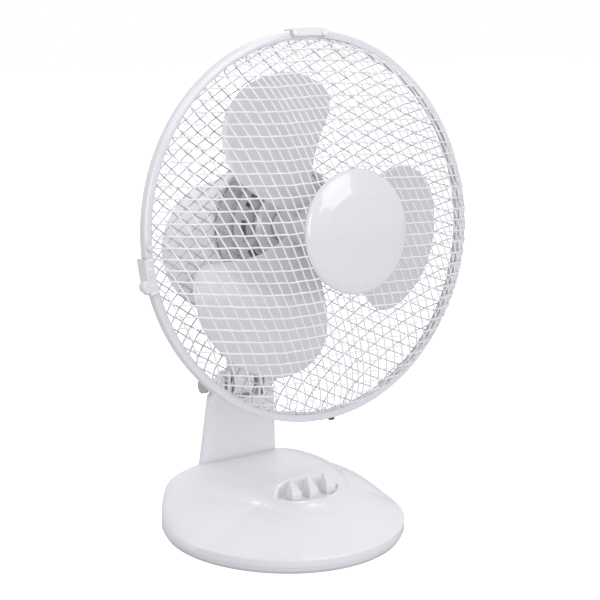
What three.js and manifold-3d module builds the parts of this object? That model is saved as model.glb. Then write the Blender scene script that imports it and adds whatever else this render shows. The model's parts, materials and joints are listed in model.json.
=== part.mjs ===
// A desk fan with a round wire guard, three blades, an oscillating head and a three-button base.
// Millimetres, +Z up, front towards -Y. The origin is the middle of the base on the table.
import * as THREE from "three";
import { mergeVertices } from "three/addons/utils/BufferGeometryUtils.js";
import Module from "manifold-3d";

const wasm = await Module();
wasm.setup();

// ---------- driving dimensions ----------
const GAP = 0.3; // left between pieces that touch

const BASE_R = 91.6; // rim of the upper shell
const SEAM_Z = 10.3; // underside of the upper shell
const TRAY_TOP_Z = 9.7;
const TRAY_R = 91.2;
const TRAY_FOOT_R = 89;
const FOOT_H = 2; // underside of the tray above the table
const WALL = 2.2; // moulded wall

const RIM_TUCK = 2.4; // how far the rim's sides are drawn in, most of all just in front of the middle
const DOME_EDGE_Z = 11; // height where the dome leaves its rim
const DOME_RISE = 31.5;
const DOME_RISE_BACK = -7.9; // change of rise from the middle to the back
const DOME_POWER = 2.1;
const DOME_POWER_BACK = 0.6;
const DOME_FULLNESS = 0.26; // above 0 the side is upright, below 0 it slopes
const DOME_FULLNESS_BACK = 1.56;
const DOME_FULLNESS_LEAST = -0.18;
const DECK_Z = 43; // middle of the raised deck that runs from the neck round the buttons
const DECK_NOSE_Y = -63.5; // front of the deck's outline, a parabola
const DECK_CURVE = 0.0219;
const DECK_STRIP_HALF_W = 34.5; // level strip in front of the neck
const DECK_LIFT = 1.2; // least height of the deck above the dome

const POCKET_Y = -31; // centre of the button recess
const POCKET_HALF_X = 27;
const POCKET_HALF_Y = 13.5;
const BUTTON_Y = -34;
const POCKET_FLOOR_Z = 35.5;
const BUTTON_PITCH = 15;
const BUTTON_W = 8;

const NECK_HALF_W = 33.6; // half width of the flat front at its foot
const NECK_TAPER = 5.2 / 56;
const NECK_FRONT_Y = 58.5; // flat front at NECK_FOOT_Z
const NECK_LEAN = 5.6 / 56;
const NECK_DEPTH = 20;
const NECK_FOOT_Z = 40;
const NECK_TOP_Z = 115;
const NECK_SHOULDER_R = 20;
const SLOT_HALF_W = 18; // opening at the top of the neck for the tilt joint

const TILT_Y = 62; // tilt hinge, along X
const TILT_Z = 100;
const KNUCKLE_R = 11;
const KNUCKLE_HALF_W = 8;
const TILT_DEG = 4.6; // nose-up angle as stored

const RING_Y = -35.2; // centre of the guard ring
const RING_Z = 230.1;
const RING_R = 134.5;
const RING_WALL = 3.3;
const RING_FRONT = 6; // the band runs from its front face back to RING_REAR
const RING_REAR = -0.8;
const GUARD_R = 130.2;
const GUARD_T = 1.6;
const LIP_R = 129.2; // inner edge of the ring's two lips, which hold the guards' rims
const LATTICE_PITCH = 34;
const LATTICE_BARS = 7;
const GUARD_FACETS = 16;
const LATTICE_BAR = 2.4;
const CAP_R = 42;
const CAP_FRONT = 55.9; // middle of the cap in front of the ring plane

const BLADE_TIP_R = 109;
const BLADE_COUNT = 3;
const BLADE_FIRST_DEG = 99.6;
const BLADE_SET_BACK = 2.8; // the petals' middle behind the ring plane
const HUB_PITCH = 0.327; // slope across a petal at the hub, and at the tip
const TIP_PITCH = 0.08;
const HUB_R = 17;
const SHAFT_R = 4;

const SWIVEL = -98; // swivel pin behind the ring plane
const HOUSING_STRETCH = 1.12; // the motor casing is this much wider than it is tall
const HOUSING_DROP = 19.5; // how far the rear of the motor casing hangs below the fan axis
const SPINDLE_X = 11.3;
const SPINDLE_F = -96;
const CRANK_X = 14;
const CRANK_F = -79.7;
const CRANK_THROW = 5;
const LINK_POST = [-8, -79]; // where the link's far end hangs over the bracket's post

const rad = THREE.MathUtils.degToRad;

// ---------- materials ----------
const finish = (color, roughness, metalness = 0) => ({ color, roughness, metalness });
const WHITE = finish(0xe6e5ea, 0.3);
const BLADE_WHITE = finish(0xdddce1, 0.3);
const WIRE = finish(0xf0f0f3, 0.4);
const DARK = finish(0x2a2a2c, 0.55);
const RUBBER = finish(0x222224, 0.9);
const STEEL = finish(0xb9bbbf, 0.35, 0.9);
const IRON = finish(0x6c6e72, 0.55, 0.8);
const COPPER = finish(0xb66a38, 0.4, 0.9);
const BRASS = finish(0xc9a24a, 0.35, 0.9);
const NYLON = finish(0xf2f0e6, 0.5);

// ---------- geometry helpers ----------
// A closed geometry with only merged positions, facing outwards.
function bare(geometry) {
  const g = geometry.clone();
  g.deleteAttribute("normal");
  g.deleteAttribute("uv");
  return mergeVertices(g, 1e-3);
}

function toSolid(geometry) {
  const g = bare(geometry);
  const build = () =>
    new wasm.Manifold(
      new wasm.Mesh({
        numProp: 3,
        vertProperties: new Float32Array(g.attributes.position.array),
        triVerts: new Uint32Array(g.index.array),
      }),
    );
  const made = build();
  if (made.volume() >= 0) return made;
  const index = g.index.array;
  for (let i = 0; i < index.length; i += 3) {
    [index[i + 1], index[i + 2]] = [index[i + 2], index[i + 1]];
  }
  return build();
}

function toGeometry(solid) {
  const mesh = solid.getMesh();
  const g = new THREE.BufferGeometry();
  g.setAttribute("position", new THREE.BufferAttribute(new Float32Array(mesh.vertProperties), 3));
  g.setIndex(new THREE.BufferAttribute(new Uint32Array(mesh.triVerts), 1));
  return g;
}

const outward = (g) => toGeometry(toSolid(g));
const join = (first, ...rest) =>
  toGeometry(rest.reduce((s, g) => s.add(toSolid(g)), toSolid(first)));
const cut = (first, ...rest) =>
  toGeometry(rest.reduce((s, g) => s.subtract(toSolid(g)), toSolid(first)));
const common = (a, b) => toGeometry(toSolid(a).intersect(toSolid(b)));

// A solid of revolution about Z from [radius, z] points.
function turned(points, segments = 32) {
  const profile = points.map(([r, z]) => new THREE.Vector2(r, z));
  return outward(new THREE.LatheGeometry(profile, segments).rotateX(Math.PI / 2));
}

// The same for a hollow profile, which closes on itself.
const turnedRing = (points, segments) => turned([...points, points[0]], segments);

const tube = (outer, inner, z0, z1, segments = 32) =>
  turnedRing([[outer, z0], [outer, z1], [inner, z1], [inner, z0]], segments);

const rod = (radius, z0, z1, segments = 24) =>
  turned([[0, z0], [radius, z0], [radius, z1], [0, z1]], segments);

const box = (x0, x1, y0, y1, z0, z1) =>
  new THREE.BoxGeometry(x1 - x0, y1 - y0, z1 - z0)
    .translate((x0 + x1) / 2, (y0 + y1) / 2, (z0 + z1) / 2);

function plate(outline, z0, z1, holes = []) {
  const shape = new THREE.Shape(outline.map(([x, y]) => new THREE.Vector2(x, y)));
  holes.forEach((h) => shape.holes.push(new THREE.Path(h.map(([x, y]) => new THREE.Vector2(x, y)))));
  return new THREE.ExtrudeGeometry(shape, { depth: z1 - z0, bevelEnabled: false }).translate(0, 0, z0);
}

const alongX = (g) => g.clone().rotateY(Math.PI / 2);
const alongY = (g) => g.clone().rotateX(-Math.PI / 2);

// Moves every vertex by a formula.
function reshaped(geometry, formula) {
  const g = bare(geometry);
  const p = g.attributes.position;
  const v = new THREE.Vector3();
  for (let i = 0; i < p.count; i++) {
    formula(v.fromBufferAttribute(p, i));
    p.setXYZ(i, v.x, v.y, v.z);
  }
  return outward(g);
}

function arc(cx, cy, rx, ry, from, to, steps) {
  return Array.from({ length: steps + 1 }, (_, i) => {
    const a = rad(from + ((to - from) * i) / steps);
    return [cx + rx * Math.cos(a), cy + ry * Math.sin(a)];
  });
}

function pieceOf(name, geometry, { color, roughness, metalness }) {
  const mesh = new THREE.Mesh(
    outward(geometry),
    new THREE.MeshStandardMaterial({ color, roughness, metalness, flatShading: true }),
  );
  mesh.name = name;
  return mesh;
}

// ---------- base ----------
const clamp = THREE.MathUtils.clamp;
const smoothstep = THREE.MathUtils.smoothstep;

// The rim's radius as a share of BASE_R in the direction of a point.
function rimShare(x, y) {
  const angle = Math.atan2(y, x);
  return 1 - (RIM_TUCK / BASE_R) * Math.cos(angle) ** 2 * (1 - 1.1 * Math.sin(angle));
}

// Height of the dome over a circle of radius BASE_R: full at the back, a slope at the front.
function domeHeight(x, y) {
  const s = Math.min(Math.hypot(x, y) / BASE_R, 1);
  const back = y / BASE_R;
  const fullness = Math.exp(Math.max(DOME_FULLNESS + DOME_FULLNESS_BACK * back, DOME_FULLNESS_LEAST));
  const rise = DOME_RISE + DOME_RISE_BACK * back;
  const power = DOME_POWER + DOME_POWER_BACK * back;
  return DOME_EDGE_Z + rise * Math.pow(1 - Math.pow(s, power), 1 / fullness);
}

// How far the deck stands above the dome: level in front of the neck, with a skirt down to its outline.
function deckLift(x, y) {
  const nose = y - DECK_NOSE_Y;
  if (nose <= 0) return 0;
  const outline = Math.sqrt(nose / DECK_CURVE);
  const strip = DECK_STRIP_HALF_W * Math.pow(clamp((y + 45) / 90, 0, 1), 0.35);
  const share = clamp((outline - Math.abs(x)) / (outline - strip), 0, 1);
  const level = DECK_Z - (y > 0 ? 0.0009 : 0.0036) * y * y;
  const lift = Math.max(level - domeHeight(x, y), DECK_LIFT) * Math.pow(share, 0.9);
  return lift * (1 - smoothstep(y, 60, 84));
}

const baseHeight = (x, y) => domeHeight(x, y) + deckLift(x, y);

function tucked(v) {
  const share = rimShare(v.x, v.y);
  v.x *= share;
  v.y *= share;
}

// The space under the dome, its surface lowered by inset, down to bottomZ.
function domeSolid(inset, bottomZ) {
  const rings = [0, 0.2, 0.36, 0.5, 0.62, 0.72, 0.82, 0.91, 0.97, 1];
  const edge = BASE_R - inset;
  const profile = rings.map((s) => [edge * s, 100]);
  const solid = turned([...profile, [edge, bottomZ], [0, bottomZ]], 32);
  return reshaped(solid, (v) => {
    if (v.z > 99) v.z = baseHeight((v.x * BASE_R) / edge, (v.y * BASE_R) / edge) - inset;
    tucked(v);
  });
}

// A pointed oval, like an eye, centred on the buttons.
function eye(halfX, halfY) {
  const r = (halfX * halfX + halfY * halfY) / (2 * halfY);
  const half = THREE.MathUtils.radToDeg(Math.asin(halfX / r));
  const low = arc(0, POCKET_Y + r - halfY, r, r, 270 - half, 270 + half, 8);
  const high = arc(0, POCKET_Y - r + halfY, r, r, 90 - half, 90 + half, 8);
  return [...low, ...high.slice(1, -1)];
}

const buttonX = (i) => (i - 1) * BUTTON_PITCH;
const cornerAngles = [45, 135, 225, 315];
const corner = (i, r) => [r * Math.cos(rad(cornerAngles[i])), r * Math.sin(rad(cornerAngles[i]))];
const SCREW_RING_R = 64;
const FOOT_RING_R = 77;
const GLAND_Z = 20;
const GLAND_DEG = -30; // round from the back, towards +X

// Places a piece made along Z on the rim of the base, pointing out.
const atGland = (g) => alongY(g).translate(0, BASE_R, GLAND_Z).rotateZ(rad(GLAND_DEG));

function baseShell() {
  let shell = cut(domeSolid(0, SEAM_Z), domeSolid(WALL, SEAM_Z - 1));
  const under = domeSolid(1, SEAM_Z);
  const cupOutline = eye(POCKET_HALF_X + WALL, POCKET_HALF_Y + WALL);
  const cup = common(plate(cupOutline, POCKET_FLOOR_Z - WALL, 60), under);
  shell = join(shell, cup);
  const bosses = [0, 1, 2, 3].map((i) => {
    const [x, y] = corner(i, SCREW_RING_R);
    const post = rod(4.5, 5, 60, 12).translate(x, y, 0);
    const low = rod(4.5, 5, SEAM_Z + 2, 12).translate(x, y, 0);
    return join(low, common(post, under));
  });
  shell = join(shell, ...bosses);
  const slots = [0, 1, 2].map((i) =>
    box(buttonX(i) - 2.6, buttonX(i) + 2.6, BUTTON_Y - 2.6, BUTTON_Y + 2.6, 20, 60));
  const pilots = [0, 1, 2, 3].map((i) =>
    rod(1.9, 0, 14, 10).translate(...corner(i, SCREW_RING_R), 0));
  const pocket = plate(eye(POCKET_HALF_X, POCKET_HALF_Y), POCKET_FLOOR_Z, 60);
  const neckHole = neckSolid(-GAP, 0, 90);
  const glandHole = atGland(rod(5.3, -14, 14, 16));
  return cut(shell, pocket, ...slots, ...pilots, neckHole, glandHole);
}

function baseTray() {
  const disc = turned([
    [0, FOOT_H], [TRAY_FOOT_R, FOOT_H], [TRAY_R, TRAY_TOP_Z], [TRAY_R - WALL, TRAY_TOP_Z],
    [TRAY_FOOT_R - WALL, FOOT_H + WALL], [0, FOOT_H + WALL],
  ], 40);
  const tray = reshaped(disc, tucked);
  const holes = [0, 1, 2, 3].map((i) => rod(2, -1, 10, 10).translate(...corner(i, SCREW_RING_R), 0));
  return cut(tray, ...holes);
}

function baseScrew(i) {
  const [x, y] = corner(i, SCREW_RING_R);
  return turned([[0, 0.4], [3.2, 0.4], [3.2, FOOT_H - GAP], [1.5, FOOT_H - GAP], [1.5, 13], [0, 13]], 10)
    .translate(x, y, 0);
}

function rubberFoot(i) {
  return rod(7, 0, FOOT_H - GAP, 16).translate(...corner(i, FOOT_RING_R), 0);
}

// A button: a small wedge that narrows towards its rear ridge, on a square stem.
function button(i) {
  const floor = POCKET_FLOOR_Z + 3.6;
  const side = [[-4.3, 0], [5.3, 0], [5.3, 9.4], [3.9, 10], [-4.3, 3.4]];
  const wedge = plate(side, -BUTTON_W / 2, BUTTON_W / 2)
    .rotateX(Math.PI / 2)
    .rotateZ(Math.PI / 2)
    .translate(0, 0, floor);
  const head = reshaped(wedge, (v) => {
    if (v.z > floor + 4) v.x *= 0.45;
  });
  const stem = box(-2.2, 2.2, -2.2, 2.2, 24, floor + 1);
  return join(head, stem).translate(buttonX(i), BUTTON_Y, 0);
}

function switchBlock() {
  const body = box(-28, 28, BUTTON_Y - 9, BUTTON_Y + 9, 9, 28.5);
  const wells = [0, 1, 2].map((i) =>
    box(buttonX(i) - 2.6, buttonX(i) + 2.6, BUTTON_Y - 2.6, BUTTON_Y + 2.6, 15, 60));
  return cut(body, ...wells);
}

function cordGland() {
  return atGland(turnedRing([[5, -6], [5, GAP], [7, GAP], [7, 3], [4.5, 7], [2.6, 7], [2.6, -6]], 16));
}

// ---------- neck ----------
// The neck's section at height z: a flat front and a rounded back, grown by the given amount.
function neckOutline(z, grow = 0) {
  const up = z - NECK_FOOT_Z;
  const half = NECK_HALF_W - NECK_TAPER * up + grow;
  const front = NECK_FRONT_Y - NECK_LEAN * up - grow;
  const corner = 5;
  return [
    ...arc(half - corner, front + corner, corner, corner, 270, 360, 2),
    ...arc(0, front + corner, half, NECK_DEPTH - corner + 2 * grow, 16, 164, 8),
    ...arc(-half + corner, front + corner, corner, corner, 180, 270, 2),
  ];
}

// The neck's body between two heights, shrunk by inset, with round shoulders.
function neckSolid(inset, z0, z1) {
  const foot = neckOutline(NECK_FOOT_Z, -inset);
  const column = reshaped(plate(foot, z0, z1), (v) => {
    const up = v.z - NECK_FOOT_Z;
    const share = 1 - (NECK_TAPER * up) / (NECK_HALF_W - inset);
    v.x *= share;
    v.y -= NECK_LEAN * up;
  });
  const half = 40;
  const r = NECK_SHOULDER_R - inset;
  const top = NECK_TOP_Z - inset;
  const edge = NECK_HALF_W - NECK_TAPER * (NECK_TOP_Z - NECK_FOOT_Z) - inset;
  const arch = [
    [-half, z0 - 1], [half, z0 - 1], [half, top - r],
    ...arc(edge - r, top - r, r, r, 0, 90, 5),
    ...arc(-edge + r, top - r, r, r, 90, 180, 5),
    [-half, top - r],
  ];
  const mould = plate(arch, -60, 60).rotateX(Math.PI / 2).translate(0, 60, 0);
  return common(column, mould);
}

const NECK_BOTTOM_Z = 22;
const COVER_Y = 71; // the rear cover's front edge
const coverScrewZ = [52, 76];

function neckShell() {
  const hollow = neckSolid(WALL, NECK_BOTTOM_Z - 1, NECK_TOP_Z);
  let shell = cut(neckSolid(0, NECK_BOTTOM_Z, NECK_TOP_Z + 5), hollow);
  const ribs = [-14, 14].map((x) =>
    common(box(x - 1.2, x + 1.2, 30, 90, 84, 120), neckSolid(1, 40, NECK_TOP_Z + 5)));
  const shelf = common(box(-40, 40, 40, 90, 85.5, 88), neckSolid(1, 40, NECK_TOP_Z + 5));
  const posts = coverScrewZ.map((z) => alongY(rod(4, 52, COVER_Y - 2, 10)).translate(0, 0, z));
  shell = join(shell, ...ribs, shelf, ...posts);
  const mouth = join(
    box(-SLOT_HALF_W, SLOT_HALF_W, 20, 60, 88, 130),
    box(-12, 12, 20, 100, 88, 130),
    box(-SLOT_HALF_W, SLOT_HALF_W, 20, 100, 111, 130),
  );
  const bolt = alongX(rod(3.3, -40, 40, 14)).translate(0, TILT_Y, TILT_Z);
  const rear = box(-50, 50, COVER_Y, 120, 0, 90);
  const pilots = coverScrewZ.map((z) => alongY(rod(1.6, 56, 80, 8)).translate(0, 0, z));
  return cut(shell, mouth, bolt, rear, ...pilots);
}

function neckRearCover() {
  const skin = cut(neckSolid(0, 44, NECK_TOP_Z), neckSolid(WALL, 40, NECK_TOP_Z));
  const band = common(skin, box(-50, 50, COVER_Y + GAP, 120, 44, 90 - GAP));
  const lugs = coverScrewZ.map((z) => {
    const lug = alongY(rod(4, COVER_Y - 1.5, 120, 10)).translate(0, 0, z);
    return common(lug, neckSolid(0.5, 40, NECK_TOP_Z));
  });
  const holes = coverScrewZ.map((z) => alongY(rod(1.8, 50, 120, 8)).translate(0, 0, z));
  return cut(join(band, ...lugs), ...holes);
}

function neckCoverScrew(i) {
  const rear = NECK_FRONT_Y - NECK_LEAN * (coverScrewZ[i] - NECK_FOOT_Z) + NECK_DEPTH;
  const head = [[1.3, rear + GAP], [3, rear + GAP], [3, rear + 1.8], [0, rear + 1.8]];
  return alongY(turned([[0, 58], [1.3, 58], ...head], 10)).translate(0, 0, coverScrewZ[i]);
}

const EAR_X = 28.9; // just outside the neck at the hinge

function tiltBolt() {
  return alongX(turned([
    [0, -EAR_X - 4], [5.5, -EAR_X - 4], [5.5, -EAR_X], [2.9, -EAR_X], [2.9, EAR_X + 6], [0, EAR_X + 6],
  ], 12)).translate(0, TILT_Y, TILT_Z);
}

const tiltNut = () => alongX(tube(5.6, 3.6, EAR_X, EAR_X + 4.4, 6)).translate(0, TILT_Y, TILT_Z);
const tiltWasher = (side) =>
  alongX(tube(8, 3.3, KNUCKLE_HALF_W + GAP, KNUCKLE_HALF_W + 1.5, 16))
    .rotateZ(side > 0 ? 0 : Math.PI)
    .translate(0, TILT_Y, TILT_Z);

// ---------- head frame ----------
// In the head, +Z points forward along the fan axis, +Y up, and the origin is the middle of the guard ring.
const hinge = (() => {
  const t = rad(TILT_DEG);
  const y = TILT_Y - RING_Y;
  const z = TILT_Z - RING_Z;
  return {
    up: y * Math.sin(t) + z * Math.cos(t),
    forward: -y * Math.cos(t) + z * Math.sin(t),
  };
})();

const DISC_TOP = -75;

function tiltBracket() {
  const side = [
    [hinge.forward - 9, hinge.up], [hinge.forward + 9, hinge.up],
    [SWIVEL + 12, DISC_TOP - 4], [SWIVEL - 12, DISC_TOP - 4],
  ];
  const arm = plate(side, -KNUCKLE_HALF_W, KNUCKLE_HALF_W).rotateY(-Math.PI / 2);
  const knuckle = alongX(rod(KNUCKLE_R, -KNUCKLE_HALF_W, KNUCKLE_HALF_W, 20))
    .translate(0, hinge.up, hinge.forward);
  const disc = alongY(rod(27, -5, 0, 32)).translate(0, DISC_TOP, SWIVEL);
  const post = alongY(rod(2, DISC_TOP - 3, LINK_LOW - 2 * GAP, 10))
    .translate(LINK_POST[0], 0, LINK_POST[1]);
  const bore = alongX(rod(3.3, -20, 20, 14)).translate(0, hinge.up, hinge.forward);
  const pinHole = alongY(rod(5 + GAP, -14, 5, 16)).translate(0, DISC_TOP, SWIVEL);
  return cut(join(arm, knuckle, disc, post), bore, pinHole);
}

const swivelPin = () =>
  alongY(turned([[0, DISC_TOP - 10], [5, DISC_TOP - 10], [5, DISC_TOP + GAP], [6.5, DISC_TOP + GAP],
    [6.5, DISC_TOP + 2], [5, DISC_TOP + 2], [5, -46], [0, -46]], 16)).translate(0, 0, SWIVEL);

const swivelBush = () => alongY(tube(7, 5.3, DISC_TOP + 8, -50, 16)).translate(0, 0, SWIVEL);

// ---------- motor casing ----------
// Half height of the casing at a distance behind the ring plane.
const casingProfile = [
  [49, -44.2], [50.5, -52], [50.5, -74], [52, -92], [52, -108], [46, -118.5], [30, -123.5], [0, -124.5],
];

const HOUSING_SCREW_X = 33;

function dropped(v) {
  v.x *= HOUSING_STRETCH;
  v.y -= HOUSING_DROP * smoothstep(-v.z, 44, 100);
}

function housingRear() {
  const inner = casingProfile.map(([r, z]) => [Math.max(r - 2.4, 0), z + (r < 40 ? 2.4 : 0)]);
  const shell = turned([...inner.reverse(), ...casingProfile], 32);
  const body = reshaped(shell, dropped);
  const bottom = alongY(rod(24, -100, -55, 28)).translate(0, 0, SWIVEL);
  const knobHole = alongY(rod(4, 0, 80, 14)).translate(SPINDLE_X, 0, SPINDLE_F);
  const screws = [-1, 1].map((s) =>
    rod(2.1, -130, -90, 8).translate(s * HOUSING_SCREW_X, -HOUSING_DROP, 0));
  return cut(body, bottom, knobHole, ...screws);
}

function housingFront() {
  const boss = tube(11, 8.4, -43, -27, 20);
  const disc = reshaped(tube(49, 8.4, -43.8, -41.4, 32), (v) => {
    if (Math.hypot(v.x, v.y) > 40) v.x *= HOUSING_STRETCH;
  });
  const vents = Array.from({ length: 8 }, (_, i) => {
    const mid = 45 * i;
    const outside = arc(0, 0, 34, 34, mid - 18, mid + 18, 3);
    const inside = arc(0, 0, 24, 24, mid + 18, mid - 18, 3);
    return plate([...outside, ...inside], -50, -35);
  });
  return cut(join(disc, boss), ...vents);
}

const housingScrew = (side) =>
  turned([[0, -127], [3, -127], [3, -124.6], [1.6, -124.6], [1.6, -104], [0, -104]], 10)
    .translate(side * HOUSING_SCREW_X, -HOUSING_DROP, 0);

// ---------- motor ----------
function statorCore() {
  const ring = tube(37, 19.4, -72, -50, 24);
  const slots = Array.from({ length: 8 }, (_, i) =>
    box(-3.5, 3.5, 23, 33, -80, -40).rotateZ(rad(45 * i)));
  return cut(ring, ...slots);
}

const winding = (z0, z1) => tube(35, 23, z0, z1, 20);
const rotorCore = () => tube(18.6, SHAFT_R + GAP, -73, -49, 20);

function motorShaft() {
  return turned([
    [0, -103], [SHAFT_R - 0.6, -103], [SHAFT_R - 0.6, -90], [SHAFT_R, -89.5], [SHAFT_R, 17.2], [3, 17.6],
    [3, 33], [0, 33],
  ], 16);
}

const frontBearing = () => tube(7.8, SHAFT_R + GAP, -48, -40.5, 16);
const rearBearing = () => tube(7.8, SHAFT_R + GAP, -85.5, -79.5, 16);

const endBell = (radius, z0, z1) => tube(radius, 8.1, z0, z1, 20);

// ---------- oscillation gearbox ----------
function gearboxCase() {
  const outer = join(
    box(-12, 22, -46, 11, -105.5, -86.5),
    box(6, 22, -46, -43, -88, -72),
    alongY(rod(8.6, -68, -45, 20)).translate(0, 0, SWIVEL),
  );
  return cut(
    outer,
    box(-10.4, 20.4, -42.5, 9.4, -103.9, -88.1),
    rod(4.6, -90, -84, 16),
    alongY(rod(7.2, -80, -44, 20)).translate(0, 0, SWIVEL),
    alongY(rod(3.3, -60, 40, 14)).translate(SPINDLE_X, 0, SPINDLE_F),
    alongY(rod(4.7, -53, -46, 14)).translate(SPINDLE_X, 0, SPINDLE_F),
    alongY(rod(3.3, -60, -40, 14)).translate(CRANK_X, 0, CRANK_F),
  );
}

const LINK_LOW = -58;
const LINK_HIGH = -55.5;

function toothed(tip, root, teeth, z0, z1) {
  const outline = [];
  for (let i = 0; i < teeth; i++) {
    const a = 360 / teeth;
    [[root, 0], [tip, 0.2], [tip, 0.5], [root, 0.7]].forEach(([r, s]) =>
      outline.push([r * Math.cos(rad(a * (i + s))), r * Math.sin(rad(a * (i + s)))]));
  }
  return plate(outline, z0, z1);
}

function clutchSpindle() {
  const wheel = toothed(7.5, 6.6, 16, -3, 3);
  const pinion = toothed(4.2, 3.4, 10, -51, -46.6);
  const stem = rod(3, -52, 6, 14);
  return alongY(join(wheel, pinion, stem)).translate(SPINDLE_X, 0, SPINDLE_F);
}

function crankDisc() {
  const gear = toothed(12, 11, 20, -51, -46.6);
  const arbor = rod(3, -50, -40, 14);
  const pin = rod(2, -58.4, -50, 12).translate(-CRANK_THROW, 0, 0);
  return alongY(join(gear, arbor, pin)).translate(CRANK_X, 0, CRANK_F);
}

function linkRod() {
  const start = [CRANK_X - CRANK_THROW, CRANK_F];
  const dx = LINK_POST[0] - start[0];
  const dz = LINK_POST[1] - start[1];
  const length = Math.hypot(dx, dz);
  const bar = join(
    rod(4.2, LINK_LOW, LINK_HIGH, 16),
    box(0, length, -2.4, 2.4, LINK_LOW, LINK_HIGH),
    rod(3.6, LINK_LOW, LINK_HIGH, 16).translate(length, 0, 0),
  );
  const drilled = cut(bar, rod(2.3, LINK_LOW - 5, LINK_HIGH + 5, 12));
  return alongY(drilled.rotateZ(-Math.atan2(dz, dx))).translate(start[0], 0, start[1]);
}

function oscillationKnob() {
  const knob = turned([[0, 9], [3, 9], [3, 38], [7, 38], [7.6, 40], [7.2, 50], [5.6, 52], [0, 52.4]], 20);
  return alongY(knob).translate(SPINDLE_X, 0, SPINDLE_F);
}

// ---------- guards ----------
// Each mesh's section, as radius and height; the front one rises steeply just inside the ring.
const frontCurve = [[GUARD_R - 2, 4], [122.5, 19.5], [104, 33.5], [78, 42.5], [38, 48.6]];
const rearCurve = [[GUARD_R - 1.8, -0.9], [GUARD_R - 2, 3.3], [112, 19.6], [78, 34.6], [38, 40.6]];

function guardSkin(curve) {
  const inner = curve.map(([r, z]) => [r - 0.7 * GUARD_T, z - 0.8 * GUARD_T]);
  return turnedRing([...curve, ...inner.reverse()], GUARD_FACETS);
}

// A dome of crossing bars between a rim and a centre ring; it faces forward.
function guardLattice(curve, turn, rimLow, rimHigh, centre) {
  const skin = guardSkin(curve);
  const bars = [];
  for (let i = 0; i < LATTICE_BARS; i++) {
    const at = (i - (LATTICE_BARS - 1) / 2) * LATTICE_PITCH;
    bars.push(box(at - LATTICE_BAR / 2, at + LATTICE_BAR / 2, -140, 140, -5, 60));
    bars.push(box(-140, 140, at - LATTICE_BAR / 2, at + LATTICE_BAR / 2, -5, 60));
  }
  const grid = join(...bars).rotateZ(rad(turn));
  const rim = turnedRing([
    [GUARD_R, rimLow], [GUARD_R, rimHigh], [GUARD_R - 2.4, rimHigh], [GUARD_R - 2.4, rimLow],
  ], GUARD_FACETS);
  return join(common(skin, grid), rim, centre);
}

function frontGuard() {
  const centre = turnedRing([[41, 47.9], [41, 49.6], [36, 49.9], [36, 46.7]], GUARD_FACETS);
  return guardLattice(frontCurve, 6, 2.7, 4.4, centre);
}

function rearGuard() {
  const centre = tube(39, 11.6, 39, 40.8, GUARD_FACETS);
  const holes = Array.from({ length: 6 }, (_, i) =>
    rod(5, 30, 50, 8).translate(0, 25, 0).rotateZ(rad(60 * i)));
  return cut(guardLattice(rearCurve, 45, -2.4, -0.7, centre), ...holes).rotateY(Math.PI);
}

function frontCap() {
  return turned([
    [0, 53.4], [30, 52.4], [CAP_R - 5, 51.4], [CAP_R - 5, 50.2], [CAP_R, 50.2], [CAP_R, 51.6],
    [CAP_R - 2, 53.2], [30, 54.9], [16, 55.7], [0, CAP_FRONT],
  ], 32);
}

function guardRing() {
  const wallR = RING_R - RING_WALL;
  const band = turnedRing([
    [RING_R, RING_REAR], [RING_R, RING_FRONT - 1], [RING_R - 1, RING_FRONT], [LIP_R, RING_FRONT],
    [LIP_R, RING_FRONT - 1.2], [wallR, RING_FRONT - 1.2], [wallR, RING_REAR + 1.2],
    [LIP_R, RING_REAR + 1.2], [LIP_R, RING_REAR],
  ], 36);
  return cut(band, alongY(rod(1.7, -150, -120, 8)).translate(0, 0, RING_MIDDLE).rotateZ(rad(SCREW_DEG)));
}

const RING_MIDDLE = (RING_FRONT + RING_REAR) / 2;
const SCREW_DEG = 3;
const LATCH_DEG = 188.2;
const LATCH_HALF_DEG = 5;

function guardScrew() {
  const r = RING_R + GAP;
  return alongY(turned([
    [0, -r - 1.2], [2.4, -r - 1.2], [2.4, -r], [1.4, -r], [1.4, -r + 4], [0, -r + 4],
  ], 10)).translate(0, 0, RING_MIDDLE).rotateZ(rad(SCREW_DEG));
}

// A curved strip between two radii and two angles, from z0 to z1.
function ringStrip(r0, r1, start, end, z0, z1) {
  return plate([...arc(0, 0, r1, r1, start, end, 5), ...arc(0, 0, r0, r0, end, start, 5)], z0, z1);
}

// The side latch: a curved bar over the band's side and front, with a thumb tab that stands out.
function guardLatch() {
  const r = RING_R + GAP;
  const [start, end] = [LATCH_DEG - LATCH_HALF_DEG, LATCH_DEG + LATCH_HALF_DEG];
  const front = RING_FRONT + GAP;
  const bar = ringStrip(r, r + 1.6, start, end, -3, front + 1.2);
  const lip = ringStrip(RING_R - 4.2, r + 1.6, start, end, front, front + 1.2);
  const tab = rod(3.6, 1, front + 1.2, 14).translate(r + 2.4, 0, 0).rotateZ(rad(LATCH_DEG + 2.5));
  return join(bar, lip, cut(tab, rod(r, 0, 20, 72)));
}

// The hook over the band's split, with a nub at each end of its front edge.
function topClip() {
  const r = RING_R + GAP;
  const front = RING_FRONT + GAP;
  const bar = ringStrip(r, r + 1, 84, 96, -3, front + 0.5);
  const lip = ringStrip(RING_R - 4, r + 1, 84, 96, front, front + 1.2);
  const nubs = [84.8, 95.2].map((a) =>
    rod(2.2, front, front + 3, 12).translate(RING_R - 2, 0, 0).rotateZ(rad(a)));
  return join(bar, lip, ...nubs);
}

const guardNut = () => tube(23, 11.5, -38.4, -33.5, 24);

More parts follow.
